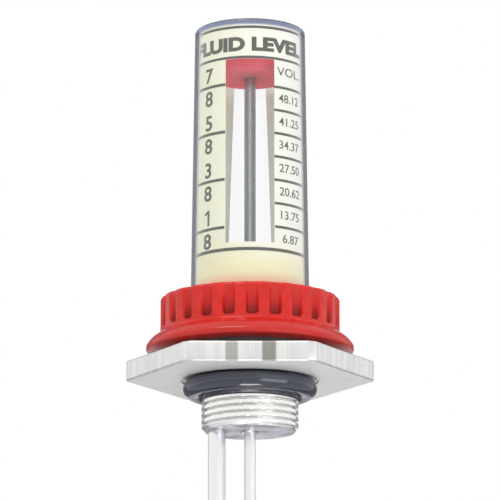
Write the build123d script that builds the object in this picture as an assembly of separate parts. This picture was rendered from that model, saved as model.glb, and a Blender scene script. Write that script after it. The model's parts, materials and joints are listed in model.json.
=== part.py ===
from build123d import *
import os
from math import cos, radians, sin

# Level gauge for an upright steel drum. It screws into the drum's 3/4 inch bung. A float arm
# swings on a bracket half way down the drum, and its crank lifts a rod that carries a red disk
# up and down behind a printed scale in a clear cup.
#
# Frame: millimetres, origin on the thread axis at the underside of the hexagon, which is the
# face that lies on the drum. +Z is up, out of the drum. -Y is the side the scale is read from.
# The model stands in its full-drum position, with the float arm folded up against its stop.

# ---------------------------------------------------------------- driving dimensions
# Drum and swing
drum_depth = 851.0            # inside depth of a 55 gallon drum, bung to bottom
swing_half_angle = 94.0       # arm angle above and below level at its two stops, degrees
crank_radius = 27.0           # pivot to crank pin
arm_length = 386.0            # pivot to the free end of the arm

# Base: hexagon, upper boss and threaded stem
hex_across_flats = 60.0
hex_corner_d = 68.0
hex_thickness = 5.5
hex_chamfer = 0.6
thread_d = 26.67              # 3/4 inch pipe thread, major diameter
stem_length = 14.2
stem_chamfer = 1.0
neck_step = 0.185             # the O-ring's plain neck is this much smaller in radius than the thread
neck_foot_z = -5.3
boss_d = 42.0
boss_top_z = 17.0
boss_chamfer = 0.8
pocket_inset = 0.7            # pocket wall inside the gasket's bore
pocket_floor_z = 6.0
rod_hole_play = 0.81          # radial, lets the rod follow its crank
rod_hole_chamfer = 0.4

# Seals
o_ring_section = 5.33
gland_play = 0.42             # shallow recess round the O-ring, radial
gland_depth = 0.4
gasket_thickness = 1.0
gasket_inset = 1.94           # gasket's bore inside the cup's bore, a ledge for the film

# Clear cup
cup_top_z = 99.7
cup_root_d = 33.0             # just above its flange
cup_draft = 1.0               # radius lost from root to top
cup_wall = 1.4
cup_roof = 1.5
cup_flange_inset = 0.5        # flange inside the boss's outline
cup_flange_thickness = 2.8
cup_edge_radius = 0.7

# Lock ring
ring_wall = 3.7
ring_lip_thickness = 2.2
ring_rise = 2.65              # gap between hexagon and skirt
ring_edge_radius = 0.6
skirt_flare = 3.85            # skirt outside the ring's wall
skirt_rim_height = 1.3
skirt_slope_height = 4.5
groove_count = 24
groove_width = 3.4            # at the outside of the ring
groove_floor_width = 2.1
groove_foot_depth = 1.6       # deep at the foot, running out towards the top
groove_top_depth = 0.35
groove_band = 0.65            # plain band under the grooves
groove_phase = 1.4            # degrees, turn of the ring as tightened

# Printed scale, a strip of film rolled inside the cup
film_thickness = 0.25
film_play = 0.08
film_head_gap = 0.2           # film to the cup's roof
title_band_height = 9.8       # film above the window
window_width = 13.0
seam_top_width = 8.4          # gap between the strip's two ends, at the back
seam_foot_width = 13.8

# Indicator
disk_play = 2.79              # disk edge to the film, at the top
disk_thickness = 3.0
disk_edge_chamfer = 0.4
full_mark_drop = 0.2          # middle of the disk under the window's head at a full drum
empty_mark_cover = 0.27       # film standing over the top of the disk at an empty drum
rod_to_leg = 2 / 3            # rod's diameter over the leg's: 1/8 and 3/16 inch bar
eye_play = 0.6                # radial, lets the eye tilt on the crank pin
eye_shank_drop = 6.6          # eye centre up to the bend in the shank
eye_bend_radius = 4.0
eye_open_angle = 45.0         # where the eye's free end stops, from level
push_nut_d = 8.0
push_nut_height = 1.0
push_nut_sheet = 0.5
rod_stub = 1.6                # rod standing out of the disk, under its push nut

# Support leg and bracket
leg_to_thread = 0.1786        # leg's diameter over the thread's
leg_wall = 1.855              # stem left between the leg's socket and the thread's crests
leg_socket_depth = 13.0
bracket_rod_gap = 0.41        # rod to the bracket, which sits on a milled flat of the leg
leg_tail = 20.0               # leg below the pivot
leg_chamfer = 0.5
bracket_thickness = 1.5
bracket_half_height = 17.5
bracket_left_margin = 0.02    # plate standing out past the leg
pivot_boss_r = 4.2
stop_reach = 14.0             # pivot to the stop tabs, along the arm
stop_tab_length = 3.2
stop_tab_rise = 3.0           # height of the tab above the bracket plate
rivet_to_leg = 0.5            # rivet's diameter over the leg's
rivet_head_to_shank = 1.75
rivet_head_height = 1.1
rivet_tab_gap = 0.8           # rivet heads to the stop tabs

# Arm, crank and pivots
blade_width = 9.0
blade_thickness = 2.0
blade_tip_margin = 5.0        # flattened blade past the crank pin
neck_length = 6.0
arm_d = 3.18
joggle_lead = 3.5             # straight arm between neck and joggle
joggle_length = 14.0
float_plane_y = 15.0          # the float hangs beside the leg and the rod
joggle_radius = 9.0
pivot_pin_d = 3.18
pivot_head_d = 5.4
pivot_peen_d = 4.8
pivot_peen_height = 1.2
washer_d = 7.6
washer_thickness = 0.5
crank_pin_to_rod = 0.755      # crank pin's diameter over the rod's
crank_pin_head_d = 4.2
crank_pin_head_height = 1.0

# Float
float_d = 21.0
float_length = 95.0
float_wall = 1.2
float_tube_d = 5.6
float_edge_radius = 3.0
cap_thickness = 1.6
cap_spigot = 4.0
float_end_margin = 6.0        # arm standing out past the float

# Clearances
seat_gap = 0.02               # parts assembled by a push or a stretch
running_gap = 0.06            # radial, pivot pin in the blade
swing_gap = 0.30              # between parts that pass each other
thread_play = 0.10            # ring on boss
lip_gap = 0.30                # cup in the ring's lip

# ---------------------------------------------------------------- derived places
hex_underside_z = 0.0
stem_end_z = -stem_length
gasket_top_z = boss_top_z + gasket_thickness
cup_shoulder_z = gasket_top_z + cup_flange_thickness
ring_top_z = cup_shoulder_z + ring_lip_thickness
ring_underside_z = hex_thickness + ring_rise
ring_bore_d = boss_d + 2 * thread_play
ring_d = ring_bore_d + 2 * ring_wall
skirt_d = ring_d + 2 * skirt_flare
groove_foot_z = ring_underside_z + skirt_slope_height + ring_edge_radius + groove_band
neck_d = thread_d - 2 * neck_step
gland_d = neck_d + 2 * o_ring_section + 2 * gland_play
leg_d = leg_to_thread * thread_d
rod_d = rod_to_leg * leg_d
rivet_d = rivet_to_leg * leg_d
rivet_head_d = rivet_head_to_shank * rivet_d
crank_pin_d = crank_pin_to_rod * rod_d
eye_bore_d = crank_pin_d + 2 * eye_play
rod_hole_d = rod_d + 2 * rod_hole_play
leg_offset = thread_d / 2 - leg_wall - leg_d / 2
leg_flat_y = rod_d / 2 + bracket_rod_gap

pivot_z = -drum_depth / 2
crank_height = crank_radius * sin(radians(swing_half_angle))
pivot_x = -crank_radius * cos(radians(swing_half_angle))
eye_z = pivot_z + crank_height

bracket_y = leg_flat_y
bracket_face_y = bracket_y + bracket_thickness
blade_y = bracket_face_y + swing_gap
blade_face_y = blade_y + blade_thickness
blade_mid_y = blade_y + blade_thickness / 2
washer_y = blade_face_y + swing_gap
crank_pin_tip_y = rod_d / 2 + swing_gap

leg_top_z = stem_end_z + leg_socket_depth
leg_foot_z = pivot_z - leg_tail
bracket_left_x = -leg_offset - leg_d / 2 - bracket_left_margin
rivet_drop = stop_reach - stop_tab_length / 2 - rivet_tab_gap - rivet_head_d / 2
rivet_heights = [pivot_z - rivet_drop, pivot_z + rivet_drop]

blade_reach = crank_radius + blade_tip_margin
neck_end_x = blade_reach + blade_width / 2 + neck_length
joggle_start = neck_end_x + joggle_lead
joggle_end = joggle_start + joggle_length

float_end_x = arm_length - float_end_margin
float_start_x = float_end_x - float_length
float_rim_x = float_start_x + cap_thickness

cup_flange_d = boss_d - 2 * cup_flange_inset
cup_top_d = cup_root_d - 2 * cup_draft
cup_draft_per_mm = cup_draft / (cup_top_z - cup_shoulder_z)
gasket_bore_d = cup_root_d - 2 * cup_wall - 2 * gasket_inset
pocket_d = gasket_bore_d - 2 * pocket_inset

film_top_z = cup_top_z - cup_roof - film_head_gap
film_top_bore_r = cup_top_d / 2 - cup_wall - film_play - film_thickness
disk_d = 2 * (film_top_bore_r - disk_play)
window_head_z = film_top_z - title_band_height
full_mark_z = window_head_z - full_mark_drop
empty_mark_z = full_mark_z - 2 * crank_height
window_foot_z = empty_mark_z + disk_thickness / 2 + empty_mark_cover
disk_foot_z = full_mark_z - disk_thickness / 2
disk_top_z = full_mark_z + disk_thickness / 2
rod_bore_d = rod_d + 2 * seat_gap


# ---------------------------------------------------------------- helpers
def turned(points):
    """Solid of revolution about the Z axis from (radius, z) points."""
    return revolve(Plane.XZ * make_face(Polyline(*points, close=True)), axis=Axis.Z)


def cylinder_up(diameter, foot_z, top_z, x=0.0, y=0.0):
    """Upright cylinder between two heights."""
    bar = Cylinder(diameter / 2, top_z - foot_z, align=(Align.CENTER, Align.CENTER, Align.MIN))
    return Pos(x, y, foot_z) * bar


def cylinder_along_y(diameter, start_y, end_y, x, z):
    """Cylinder that points along +Y between two planes."""
    bar = Cylinder(diameter / 2, end_y - start_y, align=(Align.CENTER, Align.CENTER, Align.MIN))
    return Pos(x, start_y, z) * Rot(-90, 0, 0) * bar


def edges_at(part, axis, value, tolerance=0.01):
    """Edges whose centres lie at one coordinate along an axis."""
    return part.edges().filter_by_position(axis, value - tolerance, value + tolerance)


def cup_radius(z):
    """Outside radius of the drafted cup wall at a height."""
    return cup_root_d / 2 - (z - cup_shoulder_z) * cup_draft_per_mm


def cup_bore_radius(z):
    """Inside radius of the drafted cup wall at a height."""
    return cup_radius(z) - cup_wall


def dished_nut(diameter, bore, sheet, height):
    """Push-on nut: a dished spring washer with its rim on the XY plane."""
    return turned([
        (bore / 2, height - sheet),
        (diameter / 2 - sheet, 0),
        (diameter / 2, 0),
        (diameter / 2, sheet),
        (bore / 2 + sheet, height),
        (bore / 2, height),
    ])


# ---------------------------------------------------------------- head
def make_base_body():
    """Hexagon with an upper boss for the lock ring and a stem for the bung thread."""
    hexagon = extrude(RegularPolygon(hex_across_flats / 2, 6, major_radius=False), hex_thickness)
    plate = hexagon & cylinder_up(hex_corner_d, hex_underside_z, hex_thickness)
    rim = edges_at(plate, Axis.Z, hex_underside_z) + edges_at(plate, Axis.Z, hex_thickness)
    plate = chamfer(rim, hex_chamfer)

    boss = cylinder_up(boss_d, hex_thickness, boss_top_z)
    boss = chamfer(edges_at(boss, Axis.Z, boss_top_z), boss_chamfer)
    plate -= cylinder_up(gland_d, hex_underside_z, gland_depth)
    stem = cylinder_up(thread_d, stem_end_z, neck_foot_z)
    stem = chamfer(edges_at(stem, Axis.Z, stem_end_z), stem_chamfer)
    neck = cylinder_up(neck_d, neck_foot_z, gland_depth)
    body = plate + boss + stem + neck

    body -= cylinder_up(pocket_d, pocket_floor_z, boss_top_z)
    body -= cylinder_up(rod_hole_d, stem_end_z, pocket_floor_z)
    body -= cylinder_up(leg_d + 2 * seat_gap, stem_end_z, leg_top_z + seat_gap, x=-leg_offset)
    rod_mouth = [edge for edge in edges_at(body, Axis.Z, stem_end_z) if edge.radius == rod_hole_d / 2]
    return chamfer(rod_mouth, rod_hole_chamfer)


def make_bung_o_ring():
    """O-ring on the stem's neck, in the hexagon's gland."""
    centre_r = neck_d / 2 + seat_gap + o_ring_section / 2
    centre_z = gland_depth - seat_gap - o_ring_section / 2
    return Pos(0, 0, centre_z) * Torus(centre_r, o_ring_section / 2)


def make_cup_gasket():
    """Flat gasket between the boss and the cup's flange."""
    return turned([
        (gasket_bore_d / 2, boss_top_z),
        (cup_flange_d / 2, boss_top_z),
        (cup_flange_d / 2, gasket_top_z),
        (gasket_bore_d / 2, gasket_top_z),
    ])


def make_sight_cup():
    """Clear moulded cup: drafted wall, flat roof and a clamping flange."""
    roof_z = cup_top_z - cup_roof
    cup = turned([
        (cup_bore_radius(gasket_top_z), gasket_top_z),
        (cup_flange_d / 2, gasket_top_z),
        (cup_flange_d / 2, cup_shoulder_z),
        (cup_radius(cup_shoulder_z), cup_shoulder_z),
        (cup_radius(cup_top_z), cup_top_z),
        (0, cup_top_z),
        (0, roof_z),
        (cup_bore_radius(roof_z), roof_z),
    ])
    return fillet(edges_at(cup, Axis.Z, cup_top_z), cup_edge_radius)


def groove_plan(outer_r, depth, z):
    """Level section through the cutter of one groove, open past the ring's outside."""
    mouth_y = -outer_r - groove_top_depth
    floor_y = -outer_r + depth
    with BuildSketch(Plane.XY.offset(z)) as plan:
        with BuildLine():
            Polyline(
                (-groove_floor_width / 2, floor_y),
                (groove_floor_width / 2, floor_y),
                (groove_width / 2, -outer_r),
                (groove_width / 2, mouth_y),
                (-groove_width / 2, mouth_y),
                (-groove_width / 2, -outer_r),
                close=True,
            )
        make_face()
    return plan.sketch


def make_lock_ring():
    """Grooved clamping ring with a flared skirt and an inner lip over the cup's flange."""
    outer_r = ring_d / 2
    skirt_r = skirt_d / 2
    rim_top_z = ring_underside_z + skirt_rim_height
    slope_top_z = ring_underside_z + skirt_slope_height
    with BuildSketch(Plane.XZ) as section:
        with BuildLine():
            Polyline(
                (ring_bore_d / 2, ring_underside_z),
                (skirt_r - ring_edge_radius, ring_underside_z),
                (skirt_r, ring_underside_z + ring_edge_radius),
                (skirt_r, rim_top_z),
            )
            flare = SagittaArc((skirt_r, rim_top_z), (outer_r + ring_edge_radius, slope_top_z), 0.7)
            Polyline(
                flare @ 1,
                (outer_r, slope_top_z + ring_edge_radius),
                (outer_r, ring_top_z - ring_edge_radius),
                (outer_r - ring_edge_radius, ring_top_z),
                (cup_radius(cup_shoulder_z) + lip_gap, ring_top_z),
                (cup_radius(cup_shoulder_z) + lip_gap, cup_shoulder_z),
                (ring_bore_d / 2, cup_shoulder_z),
                (ring_bore_d / 2, ring_underside_z),
            )
        make_face()
    ring = revolve(section.sketch, axis=Axis.Z)
    overshoot = ring_edge_radius
    lost_depth = (groove_foot_depth - groove_top_depth) / (ring_top_z - groove_foot_z)
    end_depth = groove_top_depth - lost_depth * overshoot
    foot_plan = groove_plan(outer_r, groove_foot_depth, groove_foot_z)
    end_plan = groove_plan(outer_r, end_depth, ring_top_z + overshoot)
    groove = loft([foot_plan, end_plan], ruled=True)
    pitch = 360 / groove_count
    for number in range(groove_count):
        ring -= Rot(0, 0, groove_phase + number * pitch) * groove
    return ring


def make_scale_film():
    """Rolled strip of film with a reading window in front and a tapering seam gap behind."""
    foot_z = gasket_top_z
    foot_r = cup_bore_radius(foot_z) - film_play
    top_r = cup_bore_radius(film_top_z) - film_play
    film = turned([
        (foot_r - film_thickness, foot_z),
        (foot_r, foot_z),
        (top_r, film_top_z),
        (top_r - film_thickness, film_top_z),
    ])
    window_height = window_head_z - window_foot_z
    window = Box(window_width, foot_r, window_height, align=(Align.CENTER, Align.MAX, Align.MIN))
    film -= Pos(0, -top_r / 2, window_foot_z) * window
    seam_outline = Polyline(
        (-seam_foot_width / 2, foot_z),
        (seam_foot_width / 2, foot_z),
        (seam_top_width / 2, film_top_z),
        (-seam_top_width / 2, film_top_z),
        close=True,
    )
    film -= extrude(Plane.XZ * make_face(seam_outline), -2 * foot_r)
    return film


# ---------------------------------------------------------------- indicator
def make_indicator_disk():
    """Red disk that is read against the scale."""
    disk = cylinder_up(disk_d, disk_foot_z, disk_top_z)
    disk = chamfer(disk.edges().filter_by(GeomType.CIRCLE), disk_edge_chamfer)
    return disk - cylinder_up(rod_bore_d, disk_foot_z, disk_top_z)


def make_disk_push_nut():
    """Push-on nut that holds the disk on the end of the rod."""
    return Pos(0, 0, disk_top_z) * dished_nut(push_nut_d, rod_bore_d, push_nut_sheet, push_nut_height)


def make_indicator_rod():
    """Straight rod with an eye bent at its foot for the crank pin."""
    eye_r = (eye_bore_d + rod_d) / 2
    top_z = disk_top_z + rod_stub
    with BuildLine(Plane.XZ) as route:
        FilletPolyline(
            (0, top_z),
            (0, eye_z + eye_shank_drop),
            (-eye_r, eye_z + eye_r),
            (-eye_r, eye_z),
            radius=eye_bend_radius,
        )
        CenterArc((0, eye_z), eye_r, 180, 180 + eye_open_angle)
    wire = route.wire()
    rod = sweep(Plane(origin=(0, 0, top_z), z_dir=(0, 0, -1)) * Circle(rod_d / 2), path=wire)
    return chamfer(edges_at(rod, Axis.Z, top_z), rod_d / 10)


# ---------------------------------------------------------------- leg and bracket
def make_support_leg():
    """Round leg, pressed into the stem, with a milled seat for the bracket."""
    leg = cylinder_up(leg_d, leg_foot_z, leg_top_z, x=-leg_offset)
    leg = chamfer(leg.edges().filter_by(GeomType.CIRCLE), leg_chamfer)
    seat_length = pivot_z + bracket_half_height - leg_foot_z
    seat = Box(leg_d, leg_d, seat_length, align=(Align.CENTER, Align.MIN, Align.MIN))
    leg -= Pos(-leg_offset, leg_flat_y, leg_foot_z) * seat
    for z in rivet_heights:
        leg -= cylinder_along_y(rivet_d + 2 * seat_gap, -leg_d, leg_d, -leg_offset, z)
        leg -= cylinder_along_y(rivet_head_d + 2 * swing_gap, -leg_d, -leg_flat_y, -leg_offset, z)
    return leg


def make_bracket_rivets():
    """Two solid rivets, headed on both sides, through the bracket and the leg."""
    rivets = []
    foot_y = -leg_flat_y - rivet_head_height
    head_y = bracket_face_y + rivet_head_height
    for z in rivet_heights:
        shank = cylinder_along_y(rivet_d, -leg_flat_y, bracket_face_y, -leg_offset, z)
        foot = cylinder_along_y(rivet_head_d, foot_y, -leg_flat_y, -leg_offset, z)
        foot = chamfer(edges_at(foot, Axis.Y, foot_y), rivet_head_height / 2)
        head = cylinder_along_y(rivet_head_d, bracket_face_y, head_y, -leg_offset, z)
        head = chamfer(edges_at(head, Axis.Y, head_y), rivet_head_height / 2)
        rivets.append(shank + foot + head)
    return Compound(children=rivets)


def stop_tab(side):
    """Folded tab that the blade's edge meets at the end of its swing: side is 1 up, -1 down."""
    tab = Box(
        stop_tab_length,
        bracket_thickness + stop_tab_rise,
        bracket_thickness,
        align=(Align.CENTER, Align.MIN, Align.CENTER),
    )
    outward = side * (blade_width / 2 + swing_gap + bracket_thickness / 2)
    level = Pos(stop_reach, bracket_y, outward) * tab
    return Pos(pivot_x, 0, pivot_z) * Rot(0, -side * swing_half_angle, 0) * level


def make_pivot_bracket():
    """Pressed plate on the leg that carries the pivot and the two stop tabs."""
    tabs = [stop_tab(1), stop_tab(-1)]
    flange_right_x = tabs[0].bounding_box().max.X
    flange_width = flange_right_x - bracket_left_x
    flange_x = (bracket_left_x + flange_right_x) / 2
    flange = Pos(flange_x, pivot_z) * Rectangle(flange_width, 2 * bracket_half_height)
    flange = fillet(flange.vertices(), bracket_thickness)
    pivot_boss = Pos(pivot_x, pivot_z) * Circle(pivot_boss_r)
    outline = make_hull(flange.edges() + pivot_boss.edges())
    plate = Plane.XZ.offset(-bracket_face_y) * extrude(outline, bracket_thickness)
    bracket = plate + tabs
    for z in rivet_heights:
        bracket -= cylinder_along_y(rivet_d + 2 * seat_gap, bracket_y, bracket_face_y, -leg_offset, z)
    return bracket - pivot_shank(seat_gap)


def pivot_shank(gap):
    """Shank and countersunk head of the pivot pin, grown by a gap: one is the pin, one its hole."""
    head_r = pivot_head_d / 2 + gap
    shank_r = pivot_pin_d / 2 + gap
    profile = Polyline(
        (0, 0),
        (head_r, 0),
        (shank_r, head_r - shank_r),
        (shank_r, washer_y + washer_thickness - bracket_y),
        (0, washer_y + washer_thickness - bracket_y),
        close=True,
    )
    upright = revolve(Plane.XZ * make_face(profile), axis=Axis.Z)
    return Pos(pivot_x, bracket_y, pivot_z) * Rot(-90, 0, 0) * upright


def make_pivot_pin():
    """Countersunk pivot pin, peened over its washer."""
    peen_y = washer_y + washer_thickness
    peen = cylinder_along_y(pivot_peen_d, peen_y, peen_y + pivot_peen_height, pivot_x, pivot_z)
    peen = chamfer(edges_at(peen, Axis.Y, peen_y + pivot_peen_height), pivot_peen_height / 2)
    return pivot_shank(0) + peen


def make_pivot_washer():
    """Flat washer on the pivot pin that keeps the blade on."""
    washer = cylinder_along_y(washer_d, washer_y, washer_y + washer_thickness, pivot_x, pivot_z)
    return washer - pivot_shank(seat_gap)


# ---------------------------------------------------------------- float arm
def swung(part):
    """Takes a part built with the arm level along +X, pivot at the origin, to its folded place."""
    return Pos(pivot_x, 0, pivot_z) * Rot(0, -swing_half_angle, 0) * part


def turned_on_arm(points):
    """Solid of revolution about the level arm's outer stretch, from (distance, radius) points."""
    return Pos(0, float_plane_y, 0) * revolve(make_face(Polyline(*points, close=True)), axis=Axis.X)


def make_float_arm():
    """Rod whose inner end is flattened into a crank blade and whose outer stretch is joggled aside."""
    blade_plan = SlotCenterToCenter(blade_reach, blade_width)
    blade = Plane.XZ.offset(-blade_face_y) * extrude(Pos(blade_reach / 2, 0) * blade_plan, blade_thickness)
    neck_plan = make_face(Polyline(
        (blade_reach, -blade_width / 2),
        (neck_end_x, -arm_d / 2),
        (neck_end_x, arm_d / 2),
        (blade_reach, blade_width / 2),
        close=True,
    ))
    neck_side = make_face(Polyline(
        (blade_reach, blade_y),
        (neck_end_x, blade_mid_y - arm_d / 2),
        (neck_end_x, blade_mid_y + arm_d / 2),
        (blade_reach, blade_face_y),
        close=True,
    ))
    neck = Plane.XZ.offset(-blade_face_y - arm_d) * extrude(neck_plan, blade_width)
    neck &= Pos(0, 0, -blade_width) * extrude(neck_side, 2 * blade_width)
    rod_start = blade_reach + blade_width / 2
    with BuildLine() as route:
        FilletPolyline(
            (rod_start, blade_mid_y),
            (joggle_start, blade_mid_y),
            (joggle_end, float_plane_y),
            (arm_length, float_plane_y),
            radius=joggle_radius,
        )
    section = Plane(origin=(rod_start, blade_mid_y, 0), z_dir=(1, 0, 0)) * Circle(arm_d / 2)
    rod = sweep(section, path=route.wire())
    rod = chamfer(edges_at(rod, Axis.X, arm_length), arm_d / 10)
    arm = blade + neck + rod
    arm -= cylinder_along_y(pivot_pin_d + 2 * running_gap, blade_y, blade_face_y, 0, 0)
    arm -= cylinder_along_y(crank_pin_d + 2 * seat_gap, blade_y, blade_face_y, crank_radius, 0)
    return swung(arm)


def make_crank_pin():
    """Headed pin in the blade that points at the rod's eye."""
    head_y = blade_face_y + crank_pin_head_height
    shank = cylinder_along_y(crank_pin_d, crank_pin_tip_y, blade_face_y, crank_radius, 0)
    head = cylinder_along_y(crank_pin_head_d, blade_face_y, head_y, crank_radius, 0)
    head = chamfer(edges_at(head, Axis.Y, head_y), crank_pin_head_height / 3)
    return swung(shank + head)


def make_float_body():
    """Hollow moulded float, open at the end nearer the pivot, with a tube for the arm."""
    outer_r = float_d / 2
    bore_r = arm_d / 2 + seat_gap
    body = turned_on_arm([
        (float_rim_x, outer_r),
        (float_end_x, outer_r),
        (float_end_x, bore_r),
        (float_rim_x, bore_r),
        (float_rim_x, float_tube_d / 2),
        (float_end_x - float_wall, float_tube_d / 2),
        (float_end_x - float_wall, outer_r - float_wall),
        (float_rim_x, outer_r - float_wall),
    ])
    outer_edge = edges_at(body, Axis.X, float_end_x).sort_by(SortBy.RADIUS)[-1]
    return swung(fillet(outer_edge, float_edge_radius))


def make_float_cap():
    """Cap welded into the float's open end, with a locating spigot."""
    outer_r = float_d / 2
    spigot_r = outer_r - float_wall - seat_gap
    bore_r = arm_d / 2 + seat_gap
    cap = turned_on_arm([
        (float_start_x, bore_r),
        (float_start_x, outer_r),
        (float_rim_x, outer_r),
        (float_rim_x, spigot_r),
        (float_rim_x + cap_spigot, spigot_r),
        (float_rim_x + cap_spigot, spigot_r - float_wall),
        (float_rim_x, spigot_r - float_wall),
        (float_rim_x, bore_r),
    ])
    outer_edge = edges_at(cap, Axis.X, float_start_x).sort_by(SortBy.RADIUS)[-1]
    return swung(chamfer(outer_edge, cap_thickness / 2))


def make_float_push_nuts():
    """Two push-on nuts that hold the float on the arm."""
    nut = dished_nut(push_nut_d, arm_d + 2 * seat_gap, push_nut_sheet, push_nut_height)
    outer = Pos(float_end_x, float_plane_y, 0) * Rot(0, 90, 0) * nut
    inner = Pos(float_start_x, float_plane_y, 0) * Rot(0, -90, 0) * nut
    return Compound(children=[swung(inner), swung(outer)])


# ---------------------------------------------------------------- build
nodes = {
    "base_body": make_base_body,
    "bung_o_ring": make_bung_o_ring,
    "cup_gasket": make_cup_gasket,
    "sight_cup": make_sight_cup,
    "lock_ring": make_lock_ring,
    "scale_film": make_scale_film,
    "indicator_disk": make_indicator_disk,
    "disk_push_nut": make_disk_push_nut,
    "indicator_rod": make_indicator_rod,
    "support_leg": make_support_leg,
    "pivot_bracket": make_pivot_bracket,
    "bracket_rivets": make_bracket_rivets,
    "pivot_pin": make_pivot_pin,
    "pivot_washer": make_pivot_washer,
    "float_arm": make_float_arm,
    "crank_pin": make_crank_pin,
    "float_body": make_float_body,
    "float_cap": make_float_cap,
    "float_push_nuts": make_float_push_nuts,
}

os.makedirs("parts", exist_ok=True)
for node, make in nodes.items():
    export_step(make(), f"parts/{node}.step")
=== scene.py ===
import json
from math import acos, ceil, cos, pi, radians, sin, tan

import bmesh
import bpy
from mathutils import Matrix, Vector


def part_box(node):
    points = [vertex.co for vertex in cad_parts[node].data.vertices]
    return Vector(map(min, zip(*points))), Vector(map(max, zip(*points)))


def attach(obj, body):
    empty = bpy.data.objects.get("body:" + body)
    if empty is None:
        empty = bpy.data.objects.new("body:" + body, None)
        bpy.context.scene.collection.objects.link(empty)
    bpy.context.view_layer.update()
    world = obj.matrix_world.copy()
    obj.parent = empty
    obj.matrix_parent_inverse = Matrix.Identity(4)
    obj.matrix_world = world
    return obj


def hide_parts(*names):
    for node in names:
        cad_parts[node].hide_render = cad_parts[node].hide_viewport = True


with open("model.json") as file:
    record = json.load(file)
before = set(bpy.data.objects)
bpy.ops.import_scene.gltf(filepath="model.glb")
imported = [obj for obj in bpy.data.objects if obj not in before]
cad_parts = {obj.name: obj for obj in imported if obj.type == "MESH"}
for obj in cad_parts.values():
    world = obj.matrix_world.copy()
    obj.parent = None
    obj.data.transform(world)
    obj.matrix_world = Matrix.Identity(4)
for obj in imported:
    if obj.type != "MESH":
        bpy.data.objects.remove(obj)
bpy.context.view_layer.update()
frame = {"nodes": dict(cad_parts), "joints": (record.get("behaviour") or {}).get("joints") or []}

# Looks of the tank level gauge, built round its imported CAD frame. The scene is in metres; sizes are
# written in millimetres and multiplied by MM on their way into it. The scale is read from -Y, +Z is
# up, and Z = 0 is the hexagon's underside.

MM = 0.001


def span(node):
    """Lowest and highest corners of a CAD node, in millimetres."""
    low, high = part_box(node)
    return low / MM, high / MM


# ---------------------------------------------------------------- sizes read from the frame
hex_low, hex_high = span("base_body")
cup_low, cup_high = span("sight_cup")
ring_low, ring_high = span("lock_ring")
film_low, film_high = span("scale_film")
disk_low, disk_high = span("indicator_disk")
seal_low, seal_high = span("bung_o_ring")
leg_low, leg_high = span("support_leg")
swing_joint = next(j for j in frame["joints"] if j["name"] == "float_swing")
pivot = Vector(swing_joint["pos_m"]) / MM

# ---------------------------------------------------------------- sizes of the base
corner_r = hex_high.x
apothem = hex_high.y
hex_top_z = 5.5
hex_edge = 0.55
stem_end_z = hex_low.z
boss_r = 21.0
boss_top_z = hex_high.z
boss_chamfer = 0.8
pocket_r = 12.48
pocket_floor_z = 6.0
thread_r = 13.335
thread_pitch = 1.8143
thread_depth = 1.05
thread_foot_z = stem_end_z + 1.0
thread_end_z = -5.3
neck_r = 13.15
gland_depth = 0.4
seal_section_r = (seal_high.z - seal_low.z) / 2
seal_r = seal_high.x - seal_section_r
gland_r = seal_high.x + 0.4
rod_hole_r = 2.4
rod_hole_chamfer = 0.4
leg_r = (leg_high.x - leg_low.x) / 2
leg_x = (leg_high.x + leg_low.x) / 2
leg_socket_r = leg_r + 0.03
leg_socket_end_z = -1.15
leg_socket_mouth = 0.35

# ---------------------------------------------------------------- sizes of the cup and its ring
cup_top_z = cup_high.z
cup_foot_z = cup_low.z
cup_flange_r = cup_high.x
cup_shoulder_z = cup_foot_z + 2.8
cup_root_r = 16.5
cup_top_r = 15.5
cup_wall = 1.4
cup_roof = 1.5
cup_edge_r = 0.7

ring_top_z = ring_high.z
ring_foot_z = ring_low.z
skirt_r = ring_high.x
ring_r = skirt_r - 3.85
ring_bore_r = boss_r + 0.1
ring_lip_r = 16.8
ring_lip_z = cup_shoulder_z
ring_edge_r = 0.6
ring_shoulder_r = 1.0
ring_chamfer = 0.4
ring_lip_chamfer = 0.3
skirt_rim = 1.3
skirt_slope = 4.5
skirt_bulge = 0.495  # how far the slope of the skirt bows outward
skirt_pinch = 0.418  # how much less it does so at its middle, times four
skirt_lift = 0.1
fillet_run = 0.55  # from the skirt's slope to the wall
fillet_rise = 0.6
groove_count = 24
groove_phase = radians(1.4)
groove_half = 1.7
groove_floor_half = 1.05
groove_foot_depth = 1.6
groove_top_depth = 0.35
groove_foot_z = ring_foot_z + skirt_slope + ring_edge_r + 0.65

# ---------------------------------------------------------------- sizes of the film and its print
cup_draft = (cup_root_r - cup_top_r) / (cup_top_z - cup_shoulder_z)
film_foot_r = film_high.x
film_foot_z = film_low.z
scale_middle_z = 60.0
ink_lift = 0.005  # from the film to the ink's back
ink_height = 0.03
ink_facet = 0.9  # longest edge of the print

# ---------------------------------------------------------------- sizes of the disk, float and nuts
disk_r = disk_high.x
disk_foot_z = disk_low.z - 0.6
rod_r = 1.59
bore_gap = 0.02

swing_half_angle = 94.0  # degrees from the arm's rest to the +X direction
float_plane_y = 15.0
float_r = 10.5
float_wall = 1.2
float_tube_r = 2.8
float_end_x = 380.0
float_start_x = 285.0
cap_thickness = 1.6
cap_spigot = 4.0
float_run = float_end_x - float_start_x - cap_thickness
arm_r = 1.59

nut_rim_r = 4.0
nut_steel = 0.5
nut_height = 1.0
nut_slot_depth = 1.05
nut_slot_half = radians(13)


# ---------------------------------------------------------------- mesh helpers
def add_mesh(name, verts, faces, materials=(), indices=None, sharp=32.0):
    """Object from vertices in millimetres, smooth shaded but for edges sharper than an angle."""
    mesh = bpy.data.meshes.new(name)
    mesh.from_pydata([Vector(v) * MM for v in verts], [], faces)
    if indices:
        mesh.polygons.foreach_set("material_index", indices)
    for material in materials:
        mesh.materials.append(material)
    mesh.validate()
    mesh.shade_smooth()
    mesh.set_sharp_from_angle(angle=radians(sharp))
    piece = bpy.data.objects.new(name, mesh)
    bpy.context.scene.collection.objects.link(piece)
    return piece


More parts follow.
